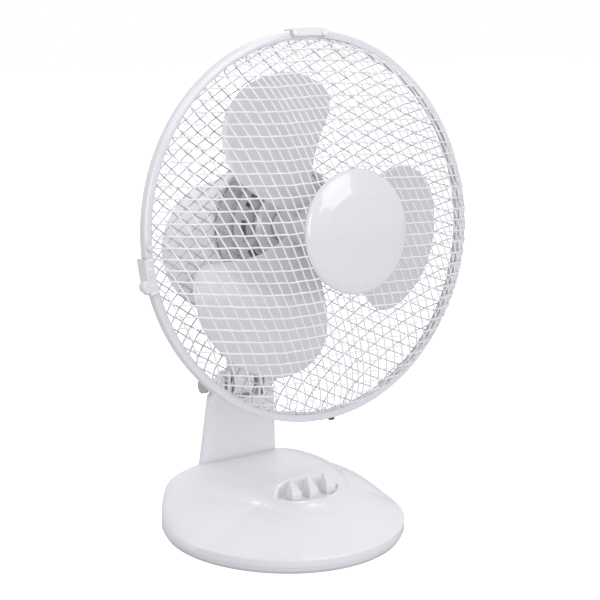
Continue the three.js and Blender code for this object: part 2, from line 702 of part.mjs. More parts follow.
// ---------- blade ----------
// One petal: narrow at the hub, widest past the middle, pitched about its own radius.
function petal() {
  const outline = [
    [12, -8], [30, -11], [48, -17], [60, -27], [72, -37], [85, -40], [96, -30], [104, -18], [108, -5],
    [BLADE_TIP_R, 8], [107, 22], [103, 38], [96, 49], [85, 58], [70, 63], [55, 61], [40, 52], [28, 37],
    [18, 22], [12, 12],
  ];
  return reshaped(plate(outline, -1, 1), (v) => {
    const outwards = (v.x - 12) / (BLADE_TIP_R - 12);
    v.z += v.y * THREE.MathUtils.lerp(HUB_PITCH, TIP_PITCH, outwards) - BLADE_SET_BACK;
  });
}

function fanBlade() {
  const hub = turned([
    [0, -22], [HUB_R - 2, -22], [HUB_R, -20], [HUB_R, 14], [HUB_R - 3, 18], [0, 18],
  ], 28);
  const petals = Array.from({ length: BLADE_COUNT }, (_, i) =>
    petal().rotateZ(rad(BLADE_FIRST_DEG - (i * 360) / BLADE_COUNT)));
  return cut(join(hub, ...petals), rod(SHAFT_R + GAP, -40, 40, 16));
}

const spinnerNut = () =>
  turned([[3.3, 18.4], [12, 18.4], [12, 24], [9, 32], [0, 35], [0, 33.4], [3.3, 33.4], [3.3, 18.4]], 20);

// ---------- assembly ----------
const group = new THREE.Group();

const baseGroup = new THREE.Group();
const four = [0, 1, 2, 3];
baseGroup.add(
  pieceOf("base_shell", baseShell(), WHITE),
  pieceOf("base_tray", baseTray(), WHITE),
  ...four.map((i) => pieceOf(`rubber_foot_${i + 1}`, rubberFoot(i), RUBBER)),
  ...four.map((i) => pieceOf(`base_screw_${i + 1}`, baseScrew(i), STEEL)),
  ...[0, 1, 2].map((i) => pieceOf(`speed_button_${i}`, button(i), WHITE)),
  pieceOf("switch_block", switchBlock(), DARK),
  pieceOf("run_capacitor", box(30, 62, 10, 22, 5, 24), DARK),
  pieceOf("cord_gland", cordGland(), WHITE),
  pieceOf("neck_shell", neckShell(), WHITE),
  pieceOf("neck_rear_cover", neckRearCover(), WHITE),
  ...[0, 1].map((i) => pieceOf(`neck_cover_screw_${i + 1}`, neckCoverScrew(i), STEEL)),
  pieceOf("tilt_bolt", tiltBolt(), STEEL),
  pieceOf("tilt_nut", tiltNut(), STEEL),
  pieceOf("tilt_washer_left", tiltWasher(-1), STEEL),
  pieceOf("tilt_washer_right", tiltWasher(1), STEEL),
);

const headGroup = new THREE.Group();
headGroup.position.set(0, RING_Y, RING_Z);
headGroup.rotation.x = Math.PI / 2 - rad(TILT_DEG);
headGroup.add(
  pieceOf("tilt_bracket", tiltBracket(), WHITE),
  pieceOf("swivel_pin", swivelPin(), STEEL),
  pieceOf("swivel_bush", swivelBush(), NYLON),
  pieceOf("housing_rear", housingRear(), WHITE),
  pieceOf("housing_front", housingFront(), WHITE),
  pieceOf("housing_screw_left", housingScrew(-1), STEEL),
  pieceOf("housing_screw_right", housingScrew(1), STEEL),
  pieceOf("stator_core", statorCore(), IRON),
  pieceOf("winding_front", winding(-49.7, -47.6), COPPER),
  pieceOf("winding_rear", winding(-77, -72.3), COPPER),
  pieceOf("end_bell_front", endBell(42, -47.2, -45.6), IRON),
  pieceOf("end_bell_rear", endBell(33, -81, -79.4), IRON),
  pieceOf("bearing_front", frontBearing(), BRASS),
  pieceOf("bearing_rear", rearBearing(), BRASS),
  pieceOf("rotor_core", rotorCore(), IRON),
  pieceOf("motor_shaft", motorShaft(), STEEL),
  pieceOf("gearbox_case", gearboxCase(), NYLON),
  pieceOf("clutch_spindle", clutchSpindle(), NYLON),
  pieceOf("crank_disc", crankDisc(), NYLON),
  pieceOf("link_rod", linkRod(), STEEL),
  pieceOf("oscillation_knob", oscillationKnob(), WHITE),
  pieceOf("rear_guard", rearGuard(), WIRE),
  pieceOf("guard_nut", guardNut(), WHITE),
  pieceOf("guard_ring", guardRing(), WHITE),
  pieceOf("guard_latch", guardLatch(), WHITE),
  pieceOf("top_clip", topClip(), WHITE),
  pieceOf("guard_screw", guardScrew(), STEEL),
  pieceOf("front_guard", frontGuard(), WIRE),
  pieceOf("front_cap", frontCap(), WHITE),
  pieceOf("fan_blade", fanBlade(), BLADE_WHITE),
  pieceOf("spinner_nut", spinnerNut(), BLADE_WHITE),
);

group.add(baseGroup, headGroup);
export default group;
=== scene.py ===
"""Looks of a desk fan: glossy white mouldings, fine wire mesh guards, three petal blades."""
import json
import math

import bmesh
import bpy
import numpy as np
from mathutils import Matrix, Vector
from mathutils.geometry import delaunay_2d_cdt


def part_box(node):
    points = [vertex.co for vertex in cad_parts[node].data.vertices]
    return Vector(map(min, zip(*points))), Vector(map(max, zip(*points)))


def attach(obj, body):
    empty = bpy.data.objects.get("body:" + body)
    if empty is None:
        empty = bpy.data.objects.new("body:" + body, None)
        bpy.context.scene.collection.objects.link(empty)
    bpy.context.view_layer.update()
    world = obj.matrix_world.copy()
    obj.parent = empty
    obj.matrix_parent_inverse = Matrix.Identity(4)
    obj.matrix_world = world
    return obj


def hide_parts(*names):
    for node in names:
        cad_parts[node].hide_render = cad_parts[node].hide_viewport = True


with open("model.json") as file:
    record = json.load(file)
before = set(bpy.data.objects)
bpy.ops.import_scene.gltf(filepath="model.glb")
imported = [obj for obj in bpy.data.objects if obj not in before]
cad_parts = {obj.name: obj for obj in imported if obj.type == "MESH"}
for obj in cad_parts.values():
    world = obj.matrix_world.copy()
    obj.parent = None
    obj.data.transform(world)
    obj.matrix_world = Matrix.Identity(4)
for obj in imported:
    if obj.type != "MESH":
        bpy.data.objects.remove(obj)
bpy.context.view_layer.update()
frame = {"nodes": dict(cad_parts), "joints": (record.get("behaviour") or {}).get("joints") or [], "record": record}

MM = 0.001

# ---------- the head's own frame, from the blade's joint ----------
joints = {j["name"]: j for j in frame["joints"]}
FORWARD = Vector(joints["blade_spin"]["axis"]).normalized()
RING_CENTRE = Vector(joints["blade_spin"]["pos_m"])
ACROSS = Vector((1, 0, 0))
UPWARD = FORWARD.cross(ACROSS)
HEAD = Matrix.Translation(RING_CENTRE) @ Matrix((
    (ACROSS.x, UPWARD.x, FORWARD.x, 0),
    (ACROSS.y, UPWARD.y, FORWARD.y, 0),
    (ACROSS.z, UPWARD.z, FORWARD.z, 0),
    (0, 0, 0, 1),
))
WORLD = Matrix.Identity(4)


def seen_in_head(node):
    """Low and high corner of a CAD node in the head's frame, in millimetres."""
    inverse = HEAD.inverted()
    points = np.array([inverse @ v.co for v in frame["nodes"][node].data.vertices]) / MM
    return points.min(0), points.max(0)


def joint_in_head(name):
    """A joint's place in the head's frame, in millimetres."""
    return HEAD.inverted() @ Vector(joints[name]["pos_m"]) / MM


def upright_in_head(x, z):
    """A frame at a place in the head whose Z runs along the head's up direction."""
    return HEAD @ Matrix.Translation((x * MM, 0, z * MM)) @ Matrix.Rotation(-math.pi / 2, 4, "X")


# ---------- camera ----------
CAMERA_AZIMUTH = math.radians(-35.1)
CAMERA_ELEVATION = math.radians(11.9)
CAMERA_DISTANCE = 1.0063
CAMERA_AIM = Vector((0.00957, -0.00673, 0.1733))
CAMERA_LENS = 84


def make_camera():
    data = bpy.data.cameras.new("camera")
    data.lens = CAMERA_LENS
    data.sensor_width = 36
    camera = bpy.data.objects.new("camera", data)
    bpy.context.scene.collection.objects.link(camera)
    back = Vector((
        math.sin(CAMERA_AZIMUTH) * math.cos(CAMERA_ELEVATION),
        -math.cos(CAMERA_AZIMUTH) * math.cos(CAMERA_ELEVATION),
        math.sin(CAMERA_ELEVATION),
    ))
    camera.location = CAMERA_AIM + back * CAMERA_DISTANCE
    camera.rotation_euler = back.to_track_quat("Z", "Y").to_euler()
    bpy.context.scene.camera = camera


# ---------- light and floor ----------
ROOM_LIGHT = 0.78
FLOOR_GLOW = 0.85  # seen by the camera only, so the floor looks white
LIGHTS_AIM = (0, 0, 0.12)
SOFTBOXES = [  # name, place, width, height, power
    ("softbox_left", (-0.72, -0.02, 1.25), 0.6, 0.6, 3.0),
    ("softbox_right", (0.5, -1.27, 0.74), 0.56, 0.66, 3.1),
    ("softbox_back", (0.42, 0.5, 1.15), 0.5, 0.5, 3.2),
    ("window_front", (-0.5, -1.4, 0.5), 0.6, 0.5, 4.4),
]


def area_light(name, place, width, height, power):
    data = bpy.data.lights.new(name, "AREA")
    data.shape = "RECTANGLE"
    data.size = width
    data.size_y = height
    data.energy = power
    lamp = bpy.data.objects.new(name, data)
    bpy.context.scene.collection.objects.link(lamp)
    lamp.location = place
    back = Vector(place) - Vector(LIGHTS_AIM)
    lamp.rotation_euler = back.to_track_quat("Z", "Y").to_euler()


def make_studio():
    scene = bpy.context.scene
    scene.view_settings.view_transform = "Standard"
    world = bpy.data.worlds.new("studio")
    scene.world = world
    world.use_nodes = True
    tree = world.node_tree
    room = tree.nodes["Background"]
    room.inputs["Color"].default_value = (0.97, 0.97, 1, 1)
    room.inputs["Strength"].default_value = ROOM_LIGHT
    paper = tree.nodes.new("ShaderNodeBackground")
    paper.inputs["Color"].default_value = (1, 1, 1, 1)
    seen = tree.nodes.new("ShaderNodeLightPath")
    mix = tree.nodes.new("ShaderNodeMixShader")
    tree.links.new(seen.outputs["Is Camera Ray"], mix.inputs["Fac"])
    tree.links.new(room.outputs["Background"], mix.inputs[1])
    tree.links.new(paper.outputs["Background"], mix.inputs[2])
    tree.links.new(mix.outputs["Shader"], tree.nodes["World Output"].inputs["Surface"])

    for softbox in SOFTBOXES:
        area_light(*softbox)

    bpy.ops.mesh.primitive_plane_add(size=14)
    floor = bpy.context.object
    floor.name = "floor"
    material = bpy.data.materials.new("floor_paper")
    material.use_nodes = True
    shader = material.node_tree.nodes["Principled BSDF"]
    shader.inputs["Base Color"].default_value = (0.6, 0.6, 0.61, 1)
    shader.inputs["Roughness"].default_value = 0.95
    shader.inputs["Emission Color"].default_value = (1, 1, 1, 1)
    seen = material.node_tree.nodes.new("ShaderNodeLightPath")
    glow = material.node_tree.nodes.new("ShaderNodeMath")
    glow.operation = "MULTIPLY"
    glow.inputs[1].default_value = FLOOR_GLOW
    material.node_tree.links.new(seen.outputs["Is Camera Ray"], glow.inputs[0])
    material.node_tree.links.new(glow.outputs[0], shader.inputs["Emission Strength"])
    floor.data.materials.append(material)


# ---------- materials ----------
COLOUR_SPREAD = 0.02
ROUGHNESS_SPREAD = 0.05
# CREASE_SHADE is painted shade: the colour that creases and corners are darkened towards
CREASE_SHADE = (0.45, 0.44, 0.43, 1)
SURFACES = {  # name: colour, roughness, and what differs from the defaults of surface()
    "shell_white": ((0.80, 0.787, 0.817), 0.3, {"coat": 1.0}),
    "blade_white": ((0.70, 0.688, 0.718), 0.22, {"coat": 0.5}),
    "wire_white": ((0.84, 0.835, 0.855), 0.3, {"grain": 1800, "crease_shade_strength": 0.0}),
    "ring_white": ((0.715, 0.702, 0.735), 0.28, {"coat": 1.0}),
    # this darker copy of the white wire colour is painted shade for the rear mesh, which is the same white wire as
    # the front
    "wire_white_shaded": ((0.66, 0.655, 0.67), 0.35, {"grain": 1800, "crease_shade_strength": 0.0}),
    "screw_dark": ((0.08, 0.08, 0.085), 0.4, {"metal": 0.6}),
    "motor_black": ((0.035, 0.035, 0.038), 0.55, {"bump": 0.08}),
    "rubber_black": ((0.03, 0.03, 0.03), 0.8, {"bump": 0.15}),
    "screw_steel": ((0.55, 0.55, 0.57), 0.32, {"metal": 1.0, "grain": 600}),
    "lamination_iron": ((0.28, 0.28, 0.30), 0.5, {"metal": 0.8}),
    "winding_copper": ((0.60, 0.27, 0.12), 0.4, {"metal": 0.9, "grain": 1500, "bump": 0.2}),
    "bearing_bronze": ((0.62, 0.44, 0.20), 0.4, {"metal": 0.9}),
    "gear_nylon": ((0.82, 0.79, 0.70), 0.45, {}),
}


def noise(tree, scale, detail):
    node = tree.nodes.new("ShaderNodeTexNoise")
    node.inputs["Scale"].default_value = scale
    node.inputs["Detail"].default_value = detail
    coordinates = tree.nodes.new("ShaderNodeTexCoord")
    tree.links.new(coordinates.outputs["Object"], node.inputs["Vector"])
    return node


def between(tree, factor, low, high):
    ramp = tree.nodes.new("ShaderNodeMapRange")
    ramp.inputs["To Min"].default_value = low
    ramp.inputs["To Max"].default_value = high
    tree.links.new(factor, ramp.inputs["Value"])
    return ramp.outputs["Result"]


def surface(name, colour, roughness, metal=0.0, coat=0.0, grain=900, bump=0.02, crease_shade_strength=0.35):
    """A moulded or metal surface: slight colour variation, fine grain, and painted shade in creases, where ambient
    occlusion darkens the base colour.
    """
    material = bpy.data.materials.new(name)
    material.use_nodes = True
    tree = material.node_tree
    shader = tree.nodes["Principled BSDF"]
    broad = noise(tree, 18, 2)
    fine = noise(tree, grain, 4)

    mix = tree.nodes.new("ShaderNodeMix")
    mix.data_type = "RGBA"
    mix.inputs["A"].default_value = tuple(c * (1 - COLOUR_SPREAD) for c in colour) + (1,)
    mix.inputs["B"].default_value = tuple(min(1, c * (1 + COLOUR_SPREAD)) for c in colour) + (1,)
    tree.links.new(broad.outputs["Fac"], mix.inputs["Factor"])

    # Painted shade: ambient occlusion mixes CREASE_SHADE into the base colour in creases and corners
    ao_shade = tree.nodes.new("ShaderNodeAmbientOcclusion")
    ao_shade.inputs["Distance"].default_value = 0.004
    ao_shade.samples = 8
    shade = tree.nodes.new("ShaderNodeMix")
    shade.data_type = "RGBA"
    shade.blend_type = "MULTIPLY"
    tree.links.new(between(tree, ao_shade.outputs["AO"], crease_shade_strength, 0.0), shade.inputs["Factor"])
    tree.links.new(mix.outputs["Result"], shade.inputs["A"])
    shade.inputs["B"].default_value = CREASE_SHADE
    tree.links.new(shade.outputs["Result"], shader.inputs["Base Color"])

    low, high = roughness - ROUGHNESS_SPREAD, roughness + ROUGHNESS_SPREAD
    rough = between(tree, fine.outputs["Fac"], low, high)
    tree.links.new(rough, shader.inputs["Roughness"])
    relief = tree.nodes.new("ShaderNodeBump")
    relief.inputs["Strength"].default_value = bump
    relief.inputs["Distance"].default_value = 0.0002
    tree.links.new(fine.outputs["Fac"], relief.inputs["Height"])
    tree.links.new(relief.outputs["Normal"], shader.inputs["Normal"])
    shader.inputs["Metallic"].default_value = metal
    shader.inputs["Coat Weight"].default_value = coat
    shader.inputs["Coat Roughness"].default_value = 0.06
    return material


def make_materials():
    return {name: surface(name, colour, roughness, **rest)
            for name, (colour, roughness, rest) in SURFACES.items()}


# ---------- mesh helpers (millimetres in a given frame) ----------
def finish_mesh(name, vertices, faces, matrix, material, sharp=35):
    mesh = bpy.data.meshes.new(name)
    mesh.from_pydata([tuple(v) for v in vertices], [], [tuple(f) for f in faces])
    mesh.transform(matrix @ Matrix.Scale(MM, 4))
    mesh.validate()
    work = bmesh.new()
    work.from_mesh(mesh)
    bmesh.ops.remove_doubles(work, verts=work.verts, dist=1e-6)
    bmesh.ops.recalc_face_normals(work, faces=work.faces)
    work.to_mesh(mesh)
    work.free()
    mesh.shade_smooth()
    mesh.set_sharp_from_angle(angle=math.radians(sharp))
    piece = bpy.data.objects.new(name, mesh)
    bpy.context.scene.collection.objects.link(piece)
    mesh.materials.append(material)
    return piece


def place(piece, body, slot, *nodes):
    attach(piece, body)
    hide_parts(*nodes)


def smooth_again(piece, sharp):
    """Shading after a boolean: smooth, with edges over an angle kept sharp."""
    piece.data.shade_smooth()
    piece.data.set_sharp_from_angle(angle=math.radians(sharp))


def rounded(points, radii, steps=6):
    """A polyline with each inner corner rounded by its own radius."""
    out = [Vector(points[0])]
    for i in range(1, len(points) - 1):
        before, here, after = (Vector(points[k]) for k in (i - 1, i, i + 1))
        radius = radii[i] if i < len(radii) else 0
        a, b = (before - here), (after - here)
        if radius <= 0 or a.length < 1e-6 or b.length < 1e-6:
            out.append(here)
            continue
        turn = a.angle(b)
        reach = min(radius / math.tan(turn / 2), 0.48 * a.length, 0.48 * b.length)
        start, end = here + a.normalized() * reach, here + b.normalized() * reach
        for k in range(steps + 1):
            t = k / steps
            out.append(start * (1 - t) ** 2 + here * 2 * t * (1 - t) + end * t * t)
    out.append(Vector(points[-1]))
    return out


def bands(rows, count, closed=False):
    """Faces between successive rows of count points that each close on themselves."""
    faces = []
    for i in range(rows if closed else rows - 1):
        j = (i + 1) % rows
        for k in range(count):
            m = (k + 1) % count
            faces.append((i * count + k, i * count + m, j * count + m, j * count + k))
    return faces


def capped(rows, count):
    """The faces of bands() with a face over each end."""
    ends = [tuple(range(count - 1, -1, -1)), tuple((rows - 1) * count + k for k in range(count))]
    return bands(rows, count) + ends


def turned(profile, segments=96, closed=False):
    """Vertices and faces of a profile of (radius, height) points spun about Z."""
    vertices = []
    for r, z in profile:
        for k in range(segments):
            a = 2 * math.pi * k / segments
            vertices.append((r * math.cos(a), r * math.sin(a), z))
    return vertices, bands(len(profile), segments, closed)


def lathed(outline, radii, steps=6, segments=96, closed=False):
    """An outline of (radius, height) points with rounded corners, spun about Z."""
    return turned(rounded(outline, radii, steps), segments, closed)


def round_ring(r, z, half_w, half_h, segments):
    """A ring about Z with a round section."""
    section = [(r + half_w * math.cos(a), z + half_h * math.sin(a))
               for a in np.linspace(0, 2 * math.pi, 8, endpoint=False)]
    return turned(section, segments, closed=True)


def about_z(vertices, degrees):
    a = math.radians(degrees)
    c, s = math.cos(a), math.sin(a)
    return [(x * c - y * s, x * s + y * c, z) for x, y, z in vertices]


def add_bevel(piece, width):
    """Rounds a piece's sharp edges."""
    modifier = piece.modifiers.new("bevel", "BEVEL")
    modifier.width = width * MM
    modifier.segments = 3
    modifier.limit_method = "ANGLE"
    modifier.angle_limit = math.radians(40)


def apply_modifiers(piece):
    graph = bpy.context.evaluated_depsgraph_get()
    mesh = bpy.data.meshes.new_from_object(piece.evaluated_get(graph))
    old = piece.data
    piece.modifiers.clear()
    piece.data = mesh
    bpy.data.meshes.remove(old)


def boolean(piece, operation, vertices, faces, matrix):
    """Cuts or joins a closed tool into a piece."""
    tool = finish_mesh("tool", vertices, faces, matrix, piece.data.materials[0])
    modifier = piece.modifiers.new("boolean", "BOOLEAN")
    modifier.operation = operation
    modifier.solver = "EXACT"
    modifier.object = tool
    apply_modifiers(piece)
    data = tool.data
    bpy.data.objects.remove(tool)
    bpy.data.meshes.remove(data)


def block(x0, x1, y0, y1, z0, z1):
    vertices = [(x, y, z) for x in (x0, x1) for y in (y0, y1) for z in (z0, z1)]
    faces = [(0, 1, 3, 2), (4, 6, 7, 5), (0, 4, 5, 1), (2, 3, 7, 6), (0, 2, 6, 4), (1, 5, 7, 3)]
    return vertices, faces


def smooth_step(x, low, high):
    t = min(max((x - low) / (high - low), 0), 1)
    return t * t * (3 - 2 * t)


# ---------- base ----------
BASE_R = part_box("base_shell")[1].y / MM
SEAM_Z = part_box("base_shell")[0].z / MM
RIM_TUCK = 2.4  # how far the rim's sides are drawn in
RIM_POINTS = 180
RIM_SHARES = (1.0, 0.997, 0.99, 0.98, 0.965, 0.945)  # rings of points just inside the rim
GRID_STEP = 1.7
GRID_ROW = 0.866  # distance between the grid's rows, as a share of its step
GRID_REACH = 0.935  # share of the rim's radius that the grid fills
DOME_EDGE_Z = 11
DOME_RISE = 31.5
DOME_RISE_BACK = -7.9
DOME_POWER = 2.1
DOME_POWER_BACK = 0.6
DOME_FULLNESS = 0.26
DOME_FULLNESS_BACK = 1.56
DOME_FULLNESS_LEAST = -0.18
DECK_Z = 43
DECK_NOSE_Y = -63.5
DECK_CURVE = 0.0219
DECK_STRIP_HALF_W = 34.5
DECK_LIFT = 1.2
DECK_FALL_FRONT = 0.0036  # the deck's level falls with the square of the distance from the middle
DECK_FALL_BACK = 0.0009
DECK_END_Y = (60, 84)  # the deck fades out behind the neck
POCKET_Y = -31
POCKET_HALF_X = 27
POCKET_HALF_Y = 13.5
POCKET_FLOOR_Z = 35.5
POCKET_CLEAR = (-1.8, 3.2)  # distances from the recess's outline that the grid leaves free
POCKET_STEPS = [  # distance outside the outline, share of the way down to the floor
    (2.4, 0.0), (1.5, 0.02), (0.9, 0.07), (0.45, 0.17), (0.15, 0.33),
    (0.0, 0.6), (-0.15, 0.86), (-0.5, 0.97), (-1.1, 1.0),
]


def rim_share(x, y):
    """The rim's radius as a share of BASE_R in the direction of a point."""
    angle = math.atan2(y, x)
    return 1 - RIM_TUCK / BASE_R * math.cos(angle) ** 2 * (1 - 1.1 * math.sin(angle))


def dome_height(x, y):
    s = min(math.hypot(x, y) / BASE_R, 1)
    back = y / BASE_R
    fullness = math.exp(max(DOME_FULLNESS + DOME_FULLNESS_BACK * back, DOME_FULLNESS_LEAST))
    rise = DOME_RISE + DOME_RISE_BACK * back
    return DOME_EDGE_Z + rise * (1 - s ** (DOME_POWER + DOME_POWER_BACK * back)) ** (1 / fullness)


def deck_lift(x, y):
    """How far the deck stands above the dome: level by the neck, then down to a parabola."""
    nose = y - DECK_NOSE_Y
    if nose <= 0:
        return 0
    outline = math.sqrt(nose / DECK_CURVE)
    strip = DECK_STRIP_HALF_W * min(max((y + 45) / 90, 0), 1) ** 0.35
    share = min(max((outline - abs(x)) / (outline - strip), 0), 1)
    level = DECK_Z - (DECK_FALL_BACK if y > 0 else DECK_FALL_FRONT) * y * y
    lift = max(level - dome_height(x, y), DECK_LIFT) * share ** 0.9
    return lift * (1 - smooth_step(y, *DECK_END_Y))


def base_height(x, y):
    return dome_height(x, y) + deck_lift(x, y)


def eye_distance(x, y):
    """How far a point is inside (negative) or outside the eye-shaped recess."""
    r = (POCKET_HALF_X ** 2 + POCKET_HALF_Y ** 2) / (2 * POCKET_HALF_Y)
    dy, offset = y - POCKET_Y, r - POCKET_HALF_Y
    return max(math.hypot(x, dy - offset) - r, math.hypot(x, dy + offset) - r)


def eye_outline(grow, count):
    """The recess's outline moved outwards by grow, as points."""
    half_x, half_y = POCKET_HALF_X + grow * 1.6, POCKET_HALF_Y + grow
    r = (half_x ** 2 + half_y ** 2) / (2 * half_y)
    span = math.asin(half_x / r)
    low = [(r * math.sin(a), POCKET_Y + (r - half_y) - r * math.cos(a))
           for a in np.linspace(-span, span, count, endpoint=False)]
    high = [(-x, 2 * POCKET_Y - y) for x, y in low]
    return low + high


def make_base_shell(material):
    """The base's top as one triangulated skin, with a turned-in edge below its rim."""
    points, loops, sunk = [], [], {}

    def add_loop(outline):
        start, count = len(points), len(outline)
        points.extend(outline)
        loops.extend((start + i, start + (i + 1) % count) for i in range(count))

    for share in RIM_SHARES:
        add_loop([(BASE_R * share * math.cos(a), BASE_R * share * math.sin(a))
                  for a in np.linspace(0, 2 * math.pi, RIM_POINTS, endpoint=False)])
    for grow, share in POCKET_STEPS:
        outline = eye_outline(grow, 40)
        sunk.update({(round(x, 4), round(y, 4)): share for x, y in outline})
        add_loop(outline)
    for i in range(int(BASE_R * 2 / (GRID_STEP * GRID_ROW)) + 1):
        y = -BASE_R + i * GRID_STEP * GRID_ROW
        for k in range(int(BASE_R * 2 / GRID_STEP) + 2):
            x = -BASE_R + (k + 0.5 * (i % 2)) * GRID_STEP
            free = POCKET_CLEAR[0] < eye_distance(x, y) < POCKET_CLEAR[1]
            if math.hypot(x, y) <= BASE_R * GRID_REACH and not free:
                points.append((x, y))
    flat, _, faces, *_ = delaunay_2d_cdt([Vector(p) for p in points], loops, [], 1, 1e-5)
    vertices = []
    for x, y in flat:
        top = base_height(x, y)
        inside = 1.0 if eye_distance(x, y) < -0.5 else 0.0
        share = sunk.get((round(x, 4), round(y, 4)), inside)
        tuck = rim_share(x, y)
        vertices.append((x * tuck, y * tuck, top + min(POCKET_FLOOR_Z - top, 0) * share))

    edge = [(BASE_R, SEAM_Z + 0.7), (BASE_R - 0.25, SEAM_Z + 0.2), (BASE_R - 0.8, SEAM_Z),
            (BASE_R - 2, SEAM_Z), (BASE_R - 2.2, SEAM_Z + 4)]
    faces = [tuple(f) for f in faces]
    above = list(range(RIM_POINTS))
    for r, z in edge:
        below = list(range(len(vertices), len(vertices) + RIM_POINTS))
        for k in range(RIM_POINTS):
            a = 2 * math.pi * k / RIM_POINTS
            x, y = math.cos(a), math.sin(a)
            vertices.append((r * x * rim_share(x, y), r * y * rim_share(x, y), z))
        for k in range(RIM_POINTS):
            m = (k + 1) % RIM_POINTS
            faces.append((above[k], above[m], below[m], below[k]))
        above = below
    piece = finish_mesh("base_upper", vertices, faces, WORLD, material, sharp=50)
    place(piece, "base", "shell_white", "base_shell")


def make_base_tray(material):
    low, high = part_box("base_tray")
    edge, top, foot = high.y / MM, high.z / MM, low.z / MM
    outline = [(0, foot), (edge - 9, foot), (edge - 8, 0.3), (edge - 2.6, 0.3), (edge - 0.4, 3.6),
               (edge + 0.3, top - 0.8), (edge - 0.3, top), (edge - 2.4, top),
               (edge - 3.6, foot + 2), (0, foot + 2)]
    profile = rounded(outline, [0, 0.6, 0.6, 1.6, 5, 1.2, 0.3, 0.4, 1.2, 0])
    vertices, faces = turned([(max(r, 0.001), z) for r, z in profile], 160)
    vertices = [(x * rim_share(x, y), y * rim_share(x, y), z) for x, y, z in vertices]
    piece = finish_mesh("base_lower", vertices, faces, WORLD, material, sharp=40)
    place(piece, "base", "shell_white", "base_tray")


def make_button(index, material):
    low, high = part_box(f"speed_button_{index}")
    x = (low.x + high.x) / 2 / MM
    half = (high.x - low.x) / 2 / MM
    front, rear, top = low.y / MM, high.y / MM, high.z / MM
    foot = POCKET_FLOOR_Z - 0.5  # short enough to miss the switch block when pressed
    side = [  # y, z, share of the button's width
        (front, foot, 1), (rear, foot, 1), (rear, top - 1.2, 0.42), (rear - 1.6, top, 0.36),
        (front + 0.6, top - 7.4, 0.97), (front, top - 8.6, 1),
    ]
    work = bmesh.new()
    left = [work.verts.new((x - half * w, y, z)) for y, z, w in side]
    right = [work.verts.new((x + half * w, y, z)) for y, z, w in side]
    work.faces.new(left)
    work.faces.new(reversed(right))
    count = len(side)
    for i in range(count):
        k = (i + 1) % count
        work.faces.new((left[i], right[i], right[k], left[k]))
    bmesh.ops.recalc_face_normals(work, faces=work.faces)
    bmesh.ops.bevel(
        work, geom=list(work.edges), offset=0.7, segments=4, profile=0.6, affect="EDGES")
    vertices = [v.co.copy() for v in work.verts]
    work.verts.index_update()
    faces = [[v.index for v in f.verts] for f in work.faces]
    work.free()
    piece = finish_mesh(f"button_{index}", vertices, faces, WORLD, material, sharp=60)
    place(piece, f"button_{index}", "shell_white", f"speed_button_{index}")


# ---------- neck ----------
NECK_FOOT_Z = 40
NECK_TOP_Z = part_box("neck_shell")[1].z / MM
NECK_LOW_Z = 30
NECK_HALF_W = 33.6
NECK_TAPER = 5.2 / 56  # how much each side draws in per millimetre of height
NECK_FRONT_Y = 58.5
NECK_LEAN = 0.1
NECK_CORNER = 4.5
NECK_DEPTH = 20
NECK_POINTS = 96
SHOULDER_R = 20
COVER_Y = 71
FORK_Z = 88


def neck_section(z):
    """The neck's outline at a height: a flat front with round corners, and a round back."""
    up = z - NECK_FOOT_Z
    half = NECK_HALF_W - NECK_TAPER * up
    top_half = NECK_HALF_W - NECK_TAPER * (NECK_TOP_Z - NECK_FOOT_Z)
    above = z - (NECK_TOP_Z - SHOULDER_R)
    if above > 0:
        half = min(half, top_half - SHOULDER_R + math.sqrt(max(SHOULDER_R ** 2 - above ** 2, 0)))
    front = NECK_FRONT_Y - NECK_LEAN * up
    outline = []
    for k in range(NECK_POINTS):
        a = 2 * math.pi * k / NECK_POINTS
        c, s = math.cos(a), math.sin(a)
        x = half * abs(c) ** (0.32 if s < 0 else 0.95) * (1 if c >= 0 else -1)
        if s < 0:
            y = front + NECK_CORNER * (1 - abs(s) ** 0.5)
        else:
            y = front + NECK_CORNER + (NECK_DEPTH - NECK_CORNER) * s ** 0.9
        outline.append((x, y, z))
    return outline


def neck_body():
    """The whole neck as one closed surface."""
    shoulder = NECK_TOP_Z - SHOULDER_R
    levels = list(np.linspace(NECK_LOW_Z, shoulder, 24))
    levels += [shoulder + SHOULDER_R * math.sin(a) for a in np.linspace(0.1, math.pi / 2, 18)]
    vertices = [point for z in levels for point in neck_section(z)]
    return vertices, capped(len(levels), NECK_POINTS)


def make_neck(material):
    neck = neck_body()
    front = finish_mesh("neck_front", *neck, WORLD, material, sharp=40)
    for x0, x1 in ((-18, -15.2), (-12.8, 12.8), (15.2, 18)):
        boolean(front, "DIFFERENCE", *block(x0, x1, 20, 66, FORK_Z, 130), WORLD)
    boolean(front, "DIFFERENCE", *block(-12, 12, 20, 110, FORK_Z, 130), WORLD)
    boolean(front, "DIFFERENCE", *block(-60, 60, COVER_Y, 120, 0, 90), WORLD)
    smooth_again(front, 40)
    place(front, "base", "shell_white", "neck_shell")
    rear = finish_mesh("neck_rear", *neck, WORLD, material, sharp=40)
    boolean(rear, "INTERSECT", *block(-60, 60, COVER_Y + 0.3, 120, 31, 89.6), WORLD)
    smooth_again(rear, 40)
    place(rear, "base", "shell_white", "neck_rear_cover")


# ---------- tilt bracket ----------
KNUCKLE_R = 11
KNUCKLE_HALF_W = 8
DISC_R = 27
DISC_TOP = -75
ARM_ROWS = 25
ARM_POINTS = 40


